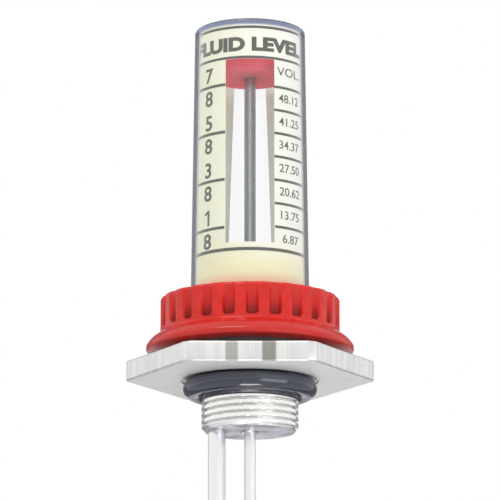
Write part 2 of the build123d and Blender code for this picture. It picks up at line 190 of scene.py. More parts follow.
def arc_points(centre, radius, start, end, steps):
    """(r, z) points on an arc, angles in degrees from +r towards +z, both ends included."""
    turn = [radians(start + (end - start) * i / steps) for i in range(steps + 1)]
    return [(centre[0] + radius * cos(a), centre[1] + radius * sin(a)) for a in turn]


def rounded(points, corners, steps=5):
    """(r, z) outline with some of its corners rounded: corners maps a point's index to a radius."""
    out = []
    count = len(points)
    for i, point in enumerate(points):
        if i not in corners:
            out.append(point)
            continue
        here = Vector(point)
        back = (Vector(points[i - 1]) - here).normalized()
        ahead = (Vector(points[(i + 1) % count]) - here).normalized()
        half = back.angle(ahead) / 2
        reach = corners[i] / tan(half)
        centre = here + (back + ahead).normalized() * (corners[i] / sin(half))
        start, end = here + back * reach - centre, here + ahead * reach - centre
        sweep = start.angle_signed(end)
        for k in range(steps + 1):
            turn = Matrix.Rotation(-sweep * k / steps, 2)
            out.append(tuple(centre + turn @ start))
    return out


def turned(name, outline, steps=128, materials=(), sharp=32.0):
    """Solid from a closed (r, z) outline turned about Z; a point on the axis is one vertex."""
    verts, rows = [], []
    for r, z in outline:
        if r < 1e-6:
            rows.append([len(verts)] * steps)
            verts.append((0, 0, z))
            continue
        rows.append(list(range(len(verts), len(verts) + steps)))
        turns = [2 * pi * i / steps for i in range(steps)]
        verts += [(r * cos(turn), r * sin(turn), z) for turn in turns]
    faces = []
    for row, above in zip(rows, rows[1:] + rows[:1]):
        for i in range(steps):
            j = (i + 1) % steps
            corners = [row[i], row[j], above[j], above[i]]
            face = [v for k, v in enumerate(corners) if v not in corners[:k]]
            if len(face) > 2:
                faces.append(face)
    piece = add_mesh(name, verts, faces, materials, sharp=sharp)
    face_outward(piece)
    return piece


def face_outward(piece):
    """Makes all the face normals of a closed mesh point outward."""
    work = bmesh.new()
    work.from_mesh(piece.data)
    bmesh.ops.recalc_face_normals(work, faces=work.faces)
    work.to_mesh(piece.data)
    work.free()


def ringed(name, angles, rows, materials, indices, sharp=32.0):
    """Closed ring whose outline changes round the axis.

    rows holds functions angle -> (r, z), and indices the material of the band above each row.
    """
    verts = []
    for row in rows:
        for angle in angles:
            r, z = row(angle)
            verts.append((r * cos(angle), r * sin(angle), z))
    across = len(angles)
    faces, slots = [], []
    for k in range(len(rows)):
        here, above = k * across, ((k + 1) % len(rows)) * across
        for i in range(across):
            j = (i + 1) % across
            faces.append((here + i, here + j, above + j, above + i))
            slots.append(indices[k])
    piece = add_mesh(name, verts, faces, materials, slots, sharp)
    face_outward(piece)
    return piece


def level(r, z):
    """A row of a ringed mesh that is a plain circle."""
    return lambda angle: (r, z)


def cut(piece, tool):
    """Cuts the tool's shape out of a piece and removes the tool."""
    bpy.context.view_layer.objects.active = piece
    step = piece.modifiers.new("cut", "BOOLEAN")
    step.operation = "DIFFERENCE"
    step.solver = "EXACT"
    step.object = tool
    graph = bpy.context.evaluated_depsgraph_get()
    mesh = bpy.data.meshes.new_from_object(piece.evaluated_get(graph))
    piece.modifiers.clear()
    old = piece.data
    piece.data = mesh
    bpy.data.meshes.remove(old)
    bpy.data.objects.remove(tool)
    piece.data.shade_smooth()
    piece.data.set_sharp_from_angle(angle=radians(32))


def quarter(steps):
    """Angles from 0 to 90 degrees, both ends included."""
    return [radians(90 * k / steps) for k in range(steps + 1)]


def smooth_step(low, high, value):
    """0 below low, 1 above high, and smooth between them."""
    t = min(max((value - low) / (high - low), 0), 1)
    return t * t * (3 - 2 * t)


def stands_for(piece, body, slot, *nodes):
    """Puts a piece on a body, in place of the CAD nodes named. The slot is not used."""
    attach(piece, body)
    if nodes:
        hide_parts(*nodes)
    return piece


# ---------------------------------------------------------------- material helpers
class Nodes:
    """Short calls for the node tree of one material."""

    def __init__(self, name, **values):
        self.material = bpy.data.materials.new(name)
        self.material.use_nodes = True
        self.tree = self.material.node_tree
        self.shader = self.tree.nodes["Principled BSDF"]
        self.set(self.shader, values)

    def set(self, node, values):
        """Writes constants on sockets, named with underscores for spaces."""
        for key, value in values.items():
            socket = node.inputs[key.replace("_", " ")]
            socket.default_value = (*value, 1) if socket.type == "RGBA" else value

    def add(self, kind, links=None, settings=None, **values):
        """New node: links maps an input to an output socket, settings are its own properties."""
        node = self.tree.nodes.new(kind)
        for key, value in (settings or {}).items():
            setattr(node, key, value)
        self.set(node, values)
        for key, output in (links or {}).items():
            self.tree.links.new(output, node.inputs[key])
        return node

    def link(self, output, key):
        """Feeds one input of the Principled shader."""
        self.tree.links.new(output, self.shader.inputs[key])

    def spot(self):
        """Object coordinates in metres."""
        return self.add("ShaderNodeTexCoord").outputs["Object"]

    def place(self, scale=(1, 1, 1), turn=(0, 0, 0)):
        """Object coordinates in millimetres, stretched by a scale."""
        mapping = self.add("ShaderNodeMapping", {"Vector": self.spot()})
        mapping.inputs["Scale"].default_value = [s / MM for s in scale]
        mapping.inputs["Rotation"].default_value = turn
        return mapping.outputs[0]

    def axes(self, vector):
        """A vector's three parts, as sockets X, Y and Z."""
        return self.add("ShaderNodeSeparateXYZ", {"Vector": vector}).outputs

    def length(self, vector):
        """A vector's length."""
        node = self.add("ShaderNodeVectorMath", {0: vector}, {"operation": "LENGTH"})
        return node.outputs["Value"]

    def noise(self, vector, scale=1.0, detail=3.0, roughness=0.55):
        """Noise from 0 to 1 on some coordinates."""
        node = self.add("ShaderNodeTexNoise", {"Vector": vector}, Scale=scale, Detail=detail,
                        Roughness=roughness)
        return node.outputs["Fac"]

    def remap(self, value, low, high, to_low, to_high, smooth=False):
        """Maps one range onto another, clamped."""
        settings = {"interpolation_type": "SMOOTHSTEP"} if smooth else {}
        node = self.add("ShaderNodeMapRange", {"Value": value}, settings, From_Min=low,
                        From_Max=high, To_Min=to_low, To_Max=to_high)
        return node.outputs[0]

    def math(self, operation, a, b=None):
        """One sum on sockets or numbers."""
        node = self.add("ShaderNodeMath", settings={"operation": operation})
        for i, part in enumerate((a, b)):
            if part is None:
                continue
            if isinstance(part, (int, float)):
                node.inputs[i].default_value = part
            else:
                self.tree.links.new(part, node.inputs[i])
        return node.outputs[0]

    def mix(self, share, first, second):
        """Blend of two colours, each a tuple or a socket."""
        node = self.add("ShaderNodeMix", settings={"data_type": "RGBA"})
        factor, colour_a, colour_b = (node.inputs[i] for i in (0, 6, 7))
        for socket, part in ((factor, share), (colour_a, first), (colour_b, second)):
            if isinstance(part, tuple):
                socket.default_value = (*part, 1)
            elif isinstance(part, (int, float)):
                socket.default_value = part
            else:
                self.tree.links.new(part, socket)
        return node.outputs[2]

    def bump(self, height, distance, strength=1.0):
        """Relief from a height field, its distance in millimetres."""
        node = self.add("ShaderNodeBump", {"Height": height}, Strength=strength)
        node.inputs["Distance"].default_value = distance * MM
        self.link(node.outputs[0], "Normal")


def drawn_metal(name, colour, dark, roughness, painted_shade_above=None):
    """Bar metal with fine lines along Z and soft patches in its shine, with painted shade and dark
    reflection above a height.
    """
    made = Nodes(name, Metallic=1.0)
    lines = made.noise(made.place((1, 1, 0.02)), 6.0, 4.0, 0.6)
    patches = made.noise(made.place(), 0.12, 3.0)
    fade = 6
    bar = made.mix(made.remap(lines, 0.3, 0.75, 0, 1), dark, colour)
    if painted_shade_above is not None:
        height = made.axes(made.place())["Z"]
        # painted shade and reflection: darker and bluish above the height, as inside the cup
        painted_shade_mask = made.remap(height, painted_shade_above - fade, painted_shade_above + fade, 0, 0.8)
        bar = made.mix(painted_shade_mask, bar, (0.26, 0.28, 0.335))
    made.link(bar, "Base Color")
    spread = made.math("ADD", made.math("MULTIPLY", lines, 0.14),
                       made.math("MULTIPLY", patches, 0.14))
    made.link(made.math("ADD", spread, roughness - 0.12), "Roughness")
    made.bump(lines, 0.02, 0.35)
    return made.material


def hex_side_metal():
    """Extruded bar: upright lines on the hexagon's sides, and two dark bands painted down a flat as
    reflections.
    """
    made = Nodes("hex_side_metal", Metallic=1.0)
    across = made.axes(made.spot())["X"]
    fine = made.noise(made.place((1, 1, 0.02)), 3.2, 3.0, 0.6)
    broad = made.noise(made.place((1, 1, 0.04)), 0.55, 2.0, 0.5)
    colour = made.mix(made.remap(fine, 0.3, 0.7, 0, 1), (0.70, 0.70, 0.69), (0.89, 0.89, 0.88))
    colour = made.mix(made.remap(broad, 0.42, 0.6, 0.3, 0), colour, (0.58, 0.58, 0.56))
    # painted reflections: two darker bands down the front and back flats
    painted_reflection_bands = ((-4.9, 1.8, 0.72), (5.1, 2.0, 1.0))
    for centre, half, strength in painted_reflection_bands:
        off = made.math("ABSOLUTE", made.math("SUBTRACT", across, centre * MM))
        share = made.remap(off, half * MM * 0.75, half * MM * 1.1, strength, 0, smooth=True)
        reflection_tone = made.mix(fine, (0.22, 0.218, 0.19), (0.42, 0.415, 0.375))
        colour = made.mix(share, colour, reflection_tone)
    marks = made.noise(made.place((1, 1, 0.45), (0, 0.5, 0)), 2.4, 3.0, 0.7)
    worn_x = (25, 29)
    worn = made.remap(across, worn_x[0] * MM, worn_x[1] * MM, 0, 0.75, smooth=True)
    worn = made.math("MULTIPLY", worn, made.remap(marks, 0.59, 0.64, 0, 1))
    colour = made.mix(worn, colour, (0.34, 0.34, 0.33))
    made.link(colour, "Base Color")
    made.link(made.remap(fine, 0.3, 0.7, 0.42, 0.28), "Roughness")
    made.bump(fine, 0.05, 0.4)
    return made.material


def hex_face_metal():
    """Milled face of the hexagon: fine even grain and faint rings from the cutter."""
    made = Nodes("hex_face_metal", Metallic=1.0)
    grain = made.noise(made.place(), 5.0, 4.0, 0.7)
    soft = made.noise(made.place(), 0.18, 3.0, 0.5)
    rings = made.math("SINE", made.math("MULTIPLY", made.length(made.place()), 7.0))
    shade = made.math("ADD", made.math("MULTIPLY", grain, 0.7), made.math("MULTIPLY", soft, 0.5))
    share = made.remap(shade, 0.35, 0.85, 0, 1)
    made.link(made.mix(share, (0.79, 0.79, 0.77), (0.91, 0.91, 0.885)), "Base Color")
    made.link(made.remap(grain, 0.3, 0.7, 0.5, 0.62), "Roughness")
    height = made.math("ADD", grain, made.math("MULTIPLY", rings, 0.12))
    made.bump(height, 0.03, 0.5)
    return made.material


def turned_metal():
    """Turned stem: fine rings left by the tool, and painted shade darkening the thread's roots."""
    made = Nodes("turned_metal", Metallic=1.0)
    lines = made.noise(made.place((0.05, 0.05, 1)), 7.0, 3.0, 0.6)
    soft = made.noise(made.place(), 0.35, 3.0, 0.5)
    shade = made.math("ADD", made.math("MULTIPLY", lines, 0.6), made.math("MULTIPLY", soft, 0.5))
    share = made.remap(shade, 0.35, 0.8, 0, 1)
    bright = made.mix(share, (0.88, 0.875, 0.86), (0.97, 0.965, 0.955))
    reach = made.length(made.place((1, 1, 0)))
    # painted shade in the thread's roots
    painted_root_shade = made.remap(reach, thread_r - 0.6, thread_r - 1.0, 0, 0.25)
    made.link(made.mix(painted_root_shade, bright, (0.50, 0.50, 0.49)), "Base Color")
    made.link(made.remap(soft, 0.3, 0.7, 0.18, 0.3), "Roughness")
    made.bump(lines, 0.02, 0.3)
    return made.material


def end_metal():
    """Faced end of the stem: bluish, with the tool's arcs."""
    made = Nodes("end_metal", Metallic=1.0)
    arcs = made.math("SINE", made.math("MULTIPLY", made.length(made.place()), 9.0))
    soft = made.noise(made.place(), 0.16, 2.0, 0.5)
    share = made.remap(soft, 0.38, 0.6, 0, 1)
    made.link(made.mix(share, (0.36, 0.36, 0.43), (0.70, 0.70, 0.77)), "Base Color")
    made.link(made.remap(arcs, -1, 1, 0.32, 0.42), "Roughness")
    made.bump(arcs, 0.006, 0.4)
    return made.material


def boss_metal():
    """Turned boss under the lock ring, painted near black as the shade under the ring's skirt."""
    made = Nodes("boss_metal", Metallic=1.0, Roughness=0.6)
    lines = made.noise(made.place((0.05, 0.05, 1)), 7.0, 3.0, 0.6)
    # painted shade: near-black metal where the boss lies in the ring's shadow
    made.link(made.mix(lines, (0.10, 0.10, 0.10), (0.2, 0.2, 0.2)), "Base Color")
    return made.material


def red_plastic():
    """Glossy red moulding with a faint orange peel, with painted shade in its grooves and down its
    skirt.
    """
    made = Nodes("red_plastic", Specular_IOR_Level=0.35)
    soft = made.noise(made.place(), 0.35, 3.0, 0.5)
    peel = made.noise(made.place(), 2.2, 2.0, 0.5)
    red = made.mix(made.remap(soft, 0.35, 0.7, 0, 1), (0.58, 0.014, 0.009), (0.67, 0.021, 0.013))
    reach = made.length(made.place((1, 1, 0)))
    height = made.axes(made.place())["Z"]
    # painted shade: the grooves darken towards their floor, darkest at their foot
    above = made.remap(height, groove_foot_z - 0.3, groove_foot_z, 0, 1)
    deep = made.math("MULTIPLY", above, made.remap(reach, ring_r - 0.25, ring_r - 1.0, 0, 1))
    climb = made.remap(height, groove_foot_z + 0.5, groove_foot_z + 5, 0, 1, smooth=True)
    shade = made.mix(climb, (0.26, 0.006, 0.004), (0.56, 0.017, 0.012))
    skirt_top_z = ring_foot_z + skirt_slope
    # painted shade: the skirt darkens down its slope
    painted_skirt_shade = made.remap(height, skirt_top_z + 0.3, skirt_top_z - 1.5, 0, 0.3)
    made.link(made.mix(deep, made.mix(painted_skirt_shade, red, (0.34, 0.03, 0.025)), shade), "Base Color")
    gloss = made.remap(peel, 0.3, 0.7, 0.16, 0.24)
    made.link(made.math("ADD", gloss, made.math("MULTIPLY", deep, 0.4)), "Roughness")
    made.bump(peel, 0.015, 0.2)
    return made.material


def disk_plastic():
    """Pinkish red disk that lets some light into it."""
    made = Nodes("disk_plastic", Specular_IOR_Level=0.0, Subsurface_Weight=0.9,
                 Subsurface_Scale=0.014, Subsurface_Radius=(1.0, 0.25, 0.3))
    soft = made.noise(made.place(), 0.4, 3.0, 0.5)
    share = made.remap(soft, 0.3, 0.7, 0, 1)
    made.link(made.mix(share, (0.73, 0.105, 0.145), (0.83, 0.145, 0.19)), "Base Color")
    made.link(made.remap(soft, 0.3, 0.7, 0.12, 0.2), "Roughness")
    return made.material


def seal_rubber(name, dark, pale, roughness, grain=0.3):
    """Rubber with a bloom of paler patches and a moulded skin."""
    made = Nodes(name, Specular_IOR_Level=1.0)
    soft = made.noise(made.place(), 0.6, 4.0, 0.6)
    skin = made.noise(made.place(), 4.0, 3.0, 0.6)
    made.link(made.mix(made.remap(soft, 0.35, 0.7, 0, 1), dark, pale), "Base Color")
    made.link(made.remap(soft, 0.3, 0.7, roughness, roughness + 0.1), "Roughness")
    made.bump(skin, 0.01, grain)
    return made.material


def film_paper():
    """Cream film, yellower low down, with painted shade making it darker and yellower to its left,
    painted red bounce light by the ring and painted light making its inside paler.
    """
    made = Nodes("film_paper", Roughness=0.42, Specular_IOR_Level=0.35, Subsurface_Weight=0.2,
                 Subsurface_Scale=0.003, Subsurface_Radius=(1.0, 1.0, 1.0))
    where = made.spot()
    axes = made.axes(where)
    soft = made.noise(made.place(), 0.25, 3.0, 0.5)
    left_x, right_x = -14, 6
    pink_z, yellow_z, cream_z = 23.8, 28, 38
    # painted shade: the film is darker and yellower to its left
    side = made.remap(axes["X"], left_x * MM, right_x * MM, 1, 0, smooth=True)
    low = made.remap(axes["Z"], yellow_z * MM, cream_z * MM, 1, 0, smooth=True)
    foot = made.remap(axes["Z"], pink_z * MM, yellow_z * MM, 1, 0, smooth=True)
    colour = made.mix(side, (0.93, 0.945, 0.83), (0.84, 0.85, 0.58))
    colour = made.mix(low, colour, (0.92, 0.92, 0.52))
    # painted bounce light: pink from the red ring near the film's foot
    colour = made.mix(foot, colour, (0.95, 0.50, 0.27))
    colour = made.mix(made.remap(soft, 0.3, 0.7, 0, 0.10), colour, (0.84, 0.83, 0.66))
    normal = made.add("ShaderNodeNewGeometry").outputs["Normal"]
    outward = made.add("ShaderNodeVectorMath", {0: where, 1: normal},
                       {"operation": "DOT_PRODUCT"})
    # painted light: the inside is coloured paler, to brighten it where it lies in the cup's shade
    inner = made.remap(outward.outputs["Value"], -2 * MM, 2 * MM, 1, 0)
    made.link(made.mix(inner, colour, (0.95, 1.0, 0.86)), "Base Color")
    return made.material


def print_ink():
    """Dark olive grey ink."""
    made = Nodes("print_ink", Specular_IOR_Level=0.3)
    soft = made.noise(made.place(), 1.5, 3.0, 0.6)
    made.link(made.mix(soft, (0.05, 0.05, 0.035), (0.09, 0.09, 0.065)), "Base Color")
    made.link(made.remap(soft, 0.3, 0.7, 0.45, 0.6), "Roughness")
    return made.material


def clear_plastic():
    """Clear cup: lamps shine through it; its wall is painted dark where it is seen end on, and
    blue-grey round its roof's edge, as painted reflections.
    """
    made = Nodes("clear_plastic", Transmission_Weight=1.0, Roughness=0.0, IOR=1.49)
    facing = made.add("ShaderNodeLayerWeight", Blend=0.5).outputs["Facing"]
    share = made.remap(facing, 0.54, 0.66, 0, 1, smooth=True)
    # painted reflection: blue-grey round the rounded edge of the roof
    height = made.axes(made.spot())["Z"]
    band_low, band_high = cup_top_z - 1.7, cup_top_z - 1.4
    near_top = made.remap(height, band_low * MM, band_high * MM, 0, 1)
    normal = made.add("ShaderNodeNewGeometry").outputs["Normal"]
    level_share = made.math("ABSOLUTE", made.axes(normal)["Z"])
    painted_edge_reflection = made.math("MULTIPLY", near_top, made.remap(level_share, 0.5, 0.8, 1, 0))
    # painted reflection: the wall turns dark grey-blue where it is seen end on
    wall = made.mix(share, (0.99, 0.992, 1.0), (0.053, 0.055, 0.067))
    made.link(made.mix(painted_edge_reflection, wall, (0.23, 0.265, 0.385)), "Base Color")
    clear = made.add("ShaderNodeBsdfTransparent").outputs[0]
    path = made.add("ShaderNodeLightPath")
    surface = made.shader.outputs[0]
    for ray in ("Is Shadow Ray", "Is Diffuse Ray"):
        mixed = made.add("ShaderNodeMixShader", {0: path.outputs[ray], 1: surface, 2: clear})
        surface = mixed.outputs[0]
    inside = made.add("ShaderNodeVolumeAbsorption", Color=(0.50, 0.58, 0.85), Density=8.0)
    out = made.tree.nodes["Material Output"]
    made.tree.links.new(surface, out.inputs["Surface"])
    made.tree.links.new(inside.outputs[0], out.inputs["Volume"])
    return made.material


def plated_steel(name, colour, tint, roughness):
    """Bright zinc plate: a faint mottle in colour and shine."""
    made = Nodes(name, Metallic=1.0)
    mottle = made.noise(made.place(), 0.9, 5.0, 0.6)
    fine = made.noise(made.place(), 6.0, 3.0, 0.6)
    made.link(made.mix(made.remap(mottle, 0.35, 0.7, 0, 1), colour, tint), "Base Color")
    made.link(made.remap(fine, 0.3, 0.7, roughness - 0.06, roughness + 0.08), "Roughness")
    made.bump(fine, 0.015, 0.3)
    return made.material


def float_plastic():
    """Black moulded float with a fine matt texture and lighter scuffs."""
    made = Nodes("float_plastic", Specular_IOR_Level=0.4)
    texture = made.noise(made.place(), 3.5, 4.0, 0.65)
    scuffs = made.noise(made.place((1, 1, 0.25)), 0.8, 5.0, 0.7)
    share = made.remap(scuffs, 0.52, 0.75, 0, 1)
    made.link(made.mix(share, (0.018, 0.019, 0.021), (0.06, 0.06, 0.065)), "Base Color")
    made.link(made.remap(scuffs, 0.4, 0.7, 0.5, 0.68), "Roughness")
    made.bump(texture, 0.05, 0.4)
    return made.material


# ---------------------------------------------------------------- base
def hex_angles(flat_steps=36, corner_steps=4):
    """Angles round the hexagon, with one at each end of every flat."""
    half_flat = acos(apothem / corner_r)
    angles = []
    for side in range(6):
        middle = radians(60 * side - 90)
        angles += [middle + half_flat * (2 * i / flat_steps - 1) for i in range(flat_steps)]
        gap = radians(60) - 2 * half_flat
        angles += [middle + half_flat + gap * i / corner_steps for i in range(corner_steps)]
    return angles


def hex_row(inset, z):
    """A row round the hexagon: flats and turned corners."""
    def row(angle):
        off = (angle + pi / 2 + radians(30)) % radians(60) - radians(30)
        return min(corner_r, apothem / cos(off)) - inset, z
    return row


def thread_row(z):
    """A row of the pipe thread, which runs out into the O-ring's neck."""
    root_edge, crest_edge = 0.04, 0.5
    run_out = 1 - smooth_step(thread_end_z - 0.9, thread_end_z - 0.1, z)
    crest = thread_r - (thread_r - neck_r) * smooth_step(thread_end_z - 0.5, thread_end_z, z)
    lead_in = thread_r - max(thread_foot_z - z, 0)

    def row(angle):
        turn = (z / thread_pitch - angle / (2 * pi)) % 1
        from_root = abs(turn - 0.5) * 2
        valley = 1 - smooth_step(root_edge, crest_edge, from_root)
        return min(crest - thread_depth * valley * run_out, lead_in), z
    return row


def make_base():
    """Hexagon, boss, threaded stem and their bores, as one turned and milled piece."""
    side, face, stem, boss, end = range(5)
    rows, finish = [], []

    def add(slot, *more):
        rows.extend(more)
        finish.extend([slot] * len(more))

    add(stem, level(rod_hole_r, pocket_floor_z), level(rod_hole_r, stem_end_z + rod_hole_chamfer))
    add(end, level(rod_hole_r + rod_hole_chamfer, stem_end_z))
    steps = 92
    thread = [stem_end_z + (thread_end_z - stem_end_z) * i / steps for i in range(steps + 1)]
    add(stem, *[thread_row(z) for z in thread])
    add(face, level(neck_r, gland_depth), level(gland_r, gland_depth), level(gland_r, 0),
        level((gland_r + apothem) / 2, 0))
    foot = [(hex_edge * (1 - sin(turn)), hex_edge * (1 - cos(turn))) for turn in quarter(4)]
    head = [(inset, hex_top_z - rise) for inset, rise in reversed(foot)]
    add(side, *[hex_row(*spot) for spot in foot + head[:-1]])
    add(face, hex_row(*head[-1]))
    add(boss, level(boss_r, hex_top_z), level(boss_r, boss_top_z - boss_chamfer),
        level(boss_r - boss_chamfer, boss_top_z), level(pocket_r, boss_top_z),
        level(pocket_r, pocket_floor_z))
    metals = [hex_side_metal(), hex_face_metal(), turned_metal(), boss_metal(), end_metal()]
    piece = ringed("gauge_base", hex_angles(), rows, metals, finish)

    mouth_r, below = leg_socket_r + leg_socket_mouth, stem_end_z - 1
    outline = [(0, below), (mouth_r, below), (mouth_r, stem_end_z),
               (leg_socket_r, stem_end_z + leg_socket_mouth), (leg_socket_r, leg_socket_end_z),
               (0, leg_socket_end_z)]
    tool = turned("socket_tool", outline, 48)
    tool.data.transform(Matrix.Translation((leg_x * MM, 0, 0)))
    cut(piece, tool)
    return stands_for(piece, "head", "aluminium", "base_body")


def make_seal():
    """O-ring in its gland."""
    centre = (seal_r, (seal_low.z + seal_high.z) / 2)
    outline = arc_points(centre, seal_section_r, 0, 360, 48)[:-1]
    rubber = seal_rubber("seal_rubber", (0.008, 0.010, 0.030), (0.018, 0.022, 0.050), 0.08,
                         grain=0.1)
    piece = turned("bung_seal", outline, 192, [rubber], 60)
    return stands_for(piece, "head", "o_ring_rubber", "bung_o_ring")


# ---------------------------------------------------------------- lock ring
def groove_share(angle):
    """How deep a groove is at an angle: 0 on a land, 1 on a groove's floor."""
    pitch = 2 * pi / groove_count
    off = (angle + pi / 2 - groove_phase + pitch / 2) % pitch - pitch / 2
    soft_edge = 0.15
    return 1 - smooth_step(groove_floor_half, groove_half + soft_edge, abs(off) * ring_r)


def ring_row(inset, z):
    """A row on the ring's wall, grooved above the plain band."""
    climb = (z - groove_foot_z) / (ring_top_z - groove_foot_z)
    depth = groove_foot_depth + (groove_top_depth - groove_foot_depth) * min(max(climb, 0), 1)
    low, high, scoop = groove_foot_z - 0.1, groove_foot_z + 0.5, 0.5

    def row(angle):
        share = groove_share(angle)
        rise = smooth_step(low, high, z - scoop * (1 - share))
        return ring_r - inset - depth * share * rise, z
    return row


def make_lock_ring():
    """Moulded ring: grooved wall, flared skirt and an inner lip."""
    per_groove = 22
    count = groove_count * per_groove
    angles = [2 * pi * i / count - pi / 2 + groove_phase for i in range(count)]
    rows = [level(ring_bore_r, ring_foot_z + ring_chamfer),
            level(ring_bore_r + ring_chamfer, ring_foot_z)]
    rim = arc_points((skirt_r - ring_edge_r, ring_foot_z + ring_edge_r), ring_edge_r, -90, 0, 6)
    rows += [level(*point) for point in rim]

    rim_top_z, slope_top_z = ring_foot_z + skirt_rim, ring_foot_z + skirt_slope
    run, rise = skirt_r - ring_r - fillet_run, slope_top_z - rim_top_z
    slope_steps = 12
    for i in range(slope_steps + 1):
        t = i / slope_steps
        bow = skirt_bulge * sin(pi * t) - skirt_pinch * t * (1 - t)
        rows.append(level(skirt_r - run * t + bow, rim_top_z + rise * t + skirt_lift * sin(pi * t)))
    rows.append(level(ring_r + 0.2, slope_top_z + 0.25))

    wall_foot_z, wall_top_z = slope_top_z + fillet_rise, ring_top_z - ring_shoulder_r
    wall_steps, crowding = 34, 1.4
    for i in range(wall_steps + 1):
        climb = (i / wall_steps) ** crowding
        rows.append(ring_row(0, wall_foot_z + (wall_top_z - wall_foot_z) * climb))
    for turn in quarter(8)[1:]:
        inset = ring_shoulder_r * (1 - cos(turn))
        rows.append(ring_row(inset, wall_top_z + ring_shoulder_r * sin(turn)))
    rows += [level(ring_lip_r + 1.5, ring_top_z), level(ring_lip_r + ring_lip_chamfer, ring_top_z),
             level(ring_lip_r, ring_top_z - ring_lip_chamfer), level(ring_lip_r, ring_lip_z),
             level(ring_bore_r, ring_lip_z)]
    piece = ringed("grooved_lock_ring", angles, rows, [red_plastic()], [0] * len(rows), 40)
    return stands_for(piece, "head", "red_plastic", "lock_ring")


# ---------------------------------------------------------------- cup, film and print
def make_cup():
    """Clear moulded cup with a soft edge round its roof and at its flange."""
    roof_z = cup_top_z - cup_roof
    outline = [
        (cup_root_r - cup_wall, cup_foot_z), (cup_flange_r, cup_foot_z),
        (cup_flange_r, cup_shoulder_z), (cup_root_r, cup_shoulder_z), (cup_top_r, cup_top_z),
        (0, cup_top_z), (0, roof_z), (cup_top_r - cup_wall + cup_draft * cup_roof, roof_z),
    ]
    outline = rounded(outline, {1: 0.3, 2: 0.3, 3: 0.4, 4: cup_edge_r, 7: 0.12}, 6)
    piece = turned("clear_cup", outline, 192, [clear_plastic()], 30)
    return stands_for(piece, "head", "clear_plastic", "sight_cup")


def film_radius(z):
    """Outside radius of the rolled film at a height."""
    return film_foot_r - (z - film_foot_z) * cup_draft


def wrapped(work, arc, z):
    """Bends flat print round the film, about an arc and a height; its z says what is raised."""
    for vertex in work.verts:
        height = z + vertex.co.y
        angle = (arc + vertex.co.x) / film_radius(scale_middle_z)
        radius = film_radius(height) + ink_lift + (ink_height if vertex.co.z > 0 else 0)
        vertex.co = Vector((radius * sin(angle), -radius * cos(angle), height))


def split_long(work):
    """Splits long edges, so that a bent face follows the film."""
    for _ in range(6):
        long_edges = [e for e in work.edges if e.calc_length() > ink_facet]
        if not long_edges:
            return
        bmesh.ops.subdivide_edges(work, edges=long_edges, cuts=1)
        bmesh.ops.triangulate(work, faces=[f for f in work.faces if len(f.verts) > 3])


def print_bar(target, arc_start, arc_end, low, high):
    """Printed line along the film."""
    work = bmesh.new()
    step = 0.7
    steps = max(2, ceil((arc_end - arc_start) / step))
    section = ((low, 0), (low, 1), (high, 1), (high, 0))
    rings = []
    for i in range(steps + 1):
        x = arc_start + (arc_end - arc_start) * i / steps
        rings.append([work.verts.new((x, y, raised)) for y, raised in section])
    for a, b in zip(rings, rings[1:]):
        for k in range(4):
            work.faces.new((a[k], b[k], b[(k + 1) % 4], a[(k + 1) % 4]))
    work.faces.new(rings[0])
    work.faces.new(reversed(rings[-1]))
    wrapped(work, 0, 0)
    add_to(target, work)


def print_text(target, text, arc, low, high, stretch=1.0, weight=0.0):
    """Printed figures or letters, from low to high and about an arc, stretched sideways."""
    curve = bpy.data.curves.new("lettering", "FONT")
    curve.body = text
    curve.offset = weight
    curve.extrude = 0.5
    curve.resolution_u = 4
    source = bpy.data.objects.new("lettering", curve)
    bpy.context.scene.collection.objects.link(source)
    graph = bpy.context.evaluated_depsgraph_get()
    mesh = bpy.data.meshes.new_from_object(source.evaluated_get(graph))
    work = bmesh.new()
    work.from_mesh(mesh)
    bmesh.ops.remove_doubles(work, verts=work.verts, dist=1e-5)
    xs = [v.co.x for v in work.verts]
    ys = [v.co.y for v in work.verts]
    scale, thinned = (high - low) / (max(ys) - min(ys)), 0.02
    for v in work.verts:
        v.co.x = (v.co.x - (min(xs) + max(xs)) / 2) * scale * stretch
        v.co.y = (v.co.y - min(ys)) * scale
        v.co.z *= thinned
    split_long(work)
    wrapped(work, arc, low)
    add_to(target, work)
    bpy.data.objects.remove(source)
    bpy.data.curves.remove(curve)
    bpy.data.meshes.remove(mesh)


def print_one(target, arc, low, high):
    """Printed figure one, with its flag and no foot."""
    tall = high - low
    stroke = 0.16 * tall
    outline = [(stroke, 0), (stroke, tall), (0.25 * stroke, tall), (-1.5 * stroke, 0.83 * tall),
               (-1.5 * stroke, 0.68 * tall), (0, 0.78 * tall), (0, 0)]
    raised = 0.01
    work = bmesh.new()
    back = [work.verts.new((x, y, 0)) for x, y in outline]
    front = [work.verts.new((x, y, raised)) for x, y in outline]
    work.faces.new(reversed(back))
    work.faces.new(front)
    for k in range(len(outline)):
        j = (k + 1) % len(outline)
        work.faces.new((back[k], back[j], front[j], front[k]))
    work.normal_update()
    bmesh.ops.triangulate(work, faces=work.faces)
    split_long(work)
    wrapped(work, arc, low)
    add_to(target, work)


def add_to(target, work):
    """Moves one print's mesh into the whole print."""
    part = bpy.data.meshes.new("part")
    work.to_mesh(part)
    work.free()
    target.from_mesh(part)
    bpy.data.meshes.remove(part)


